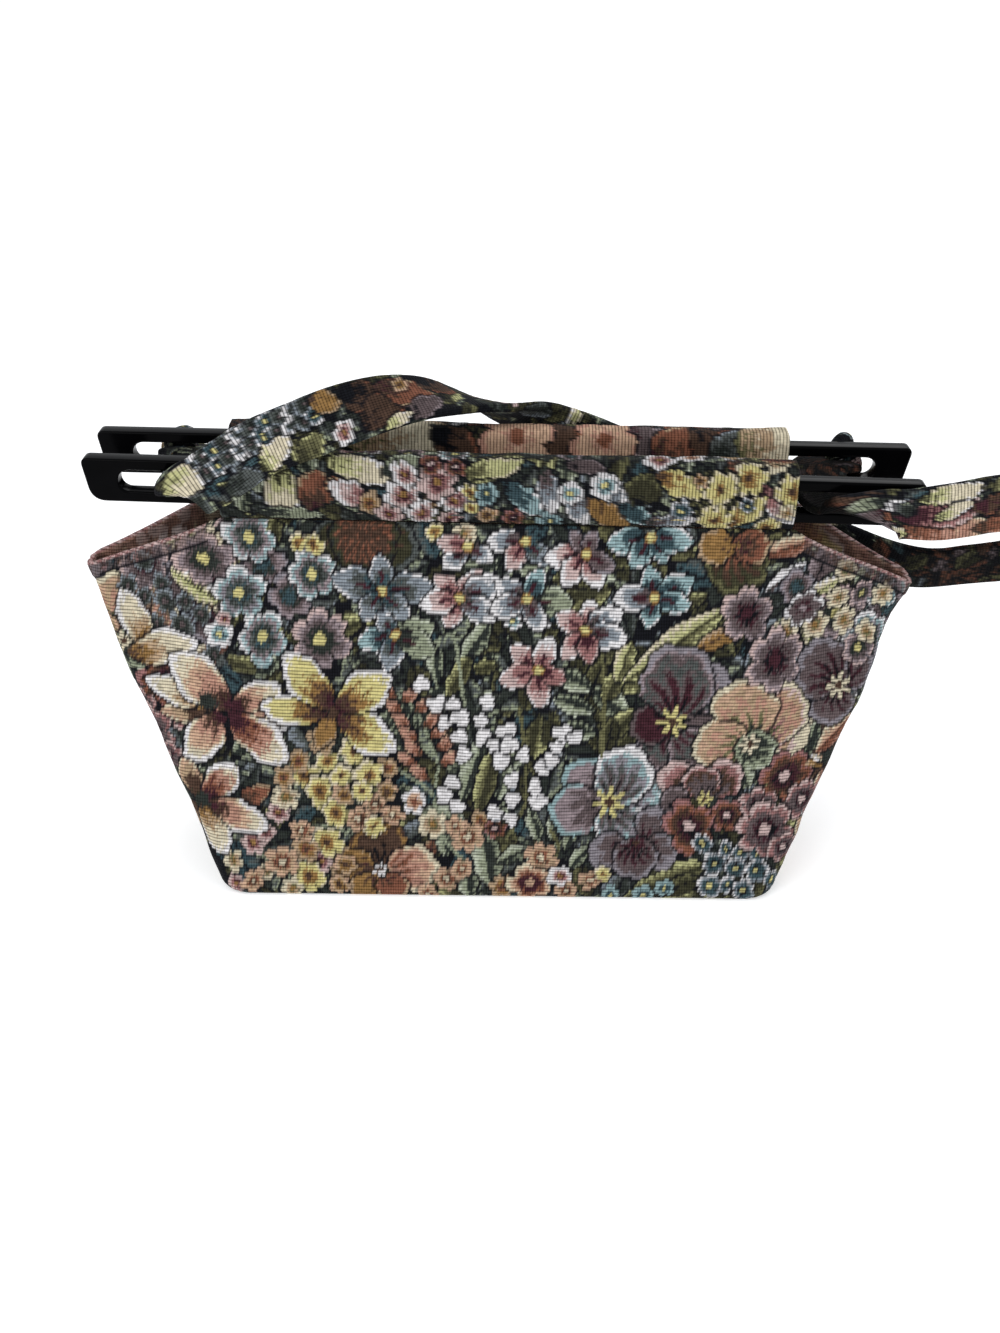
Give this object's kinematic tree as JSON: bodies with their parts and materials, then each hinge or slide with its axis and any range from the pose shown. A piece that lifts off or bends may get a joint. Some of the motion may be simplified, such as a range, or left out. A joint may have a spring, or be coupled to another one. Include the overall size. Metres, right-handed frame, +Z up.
{
  "type": "tapestry shoulder bag",
  "caption": "Boxy tapestry shoulder bag with slotted bars in cloth sleeves along the mouth and a flat strap threaded through the slots.",
  "frame": {"origin": "middle of the base's underside, on the surface that the bag stands on", "axes": "+X along the bars to the bag's right as seen from the front, +Y from the front to the back, +Z up"},
  "size_m": [0.4364, 0.1188, 0.2099],
  "materials": {
    "tapestry": "woven floral jacquard with weft ribs, matte",
    "tapestry_sleeve": "the same tapestry turned a quarter, ribs upright",
    "tapestry_strap": "folded double tapestry, ribs across the strap",
    "black_plastic": "moulded satin black with soft edges and fine scratches"
  },
  "bodies": {
    "root": {"front_panel": "tapestry", "back_panel": "tapestry", "base_panel": "tapestry", "front_sleeve": "tapestry_sleeve", "back_sleeve": "tapestry_sleeve", "front_bar": "black_plastic", "back_bar": "black_plastic", "shoulder_strap": "tapestry_strap"}
  },
  "joints": []
}
